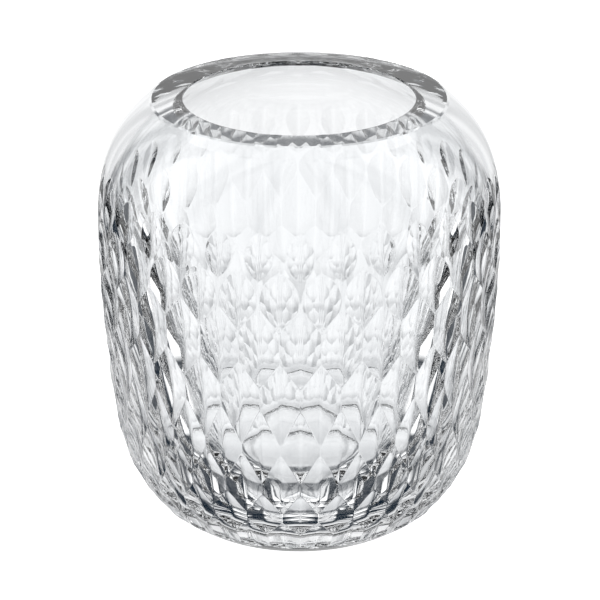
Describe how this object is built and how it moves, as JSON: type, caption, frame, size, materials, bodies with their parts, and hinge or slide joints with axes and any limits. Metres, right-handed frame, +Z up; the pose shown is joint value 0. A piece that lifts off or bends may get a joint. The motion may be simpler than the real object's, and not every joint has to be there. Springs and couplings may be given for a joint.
{
  "type": "vase",
  "caption": "Barrel-shaped crystal vase with a thick wall, a wide mouth, a flat ground rim and staggered rows of pointed leaf cuts.",
  "frame": {"origin": "middle of the flat foot, on the surface that the vase stands on", "axes": "+Z up along the vase's axis; X and Y are level, and the middle of a leaf of the first, topmost row faces +X"},
  "size_m": [0.1626, 0.1626, 0.175],
  "materials": {
    "crystal": "polished clear cut crystal"
  },
  "bodies": {
    "root": {"vase": "crystal"}
  },
  "joints": []
}
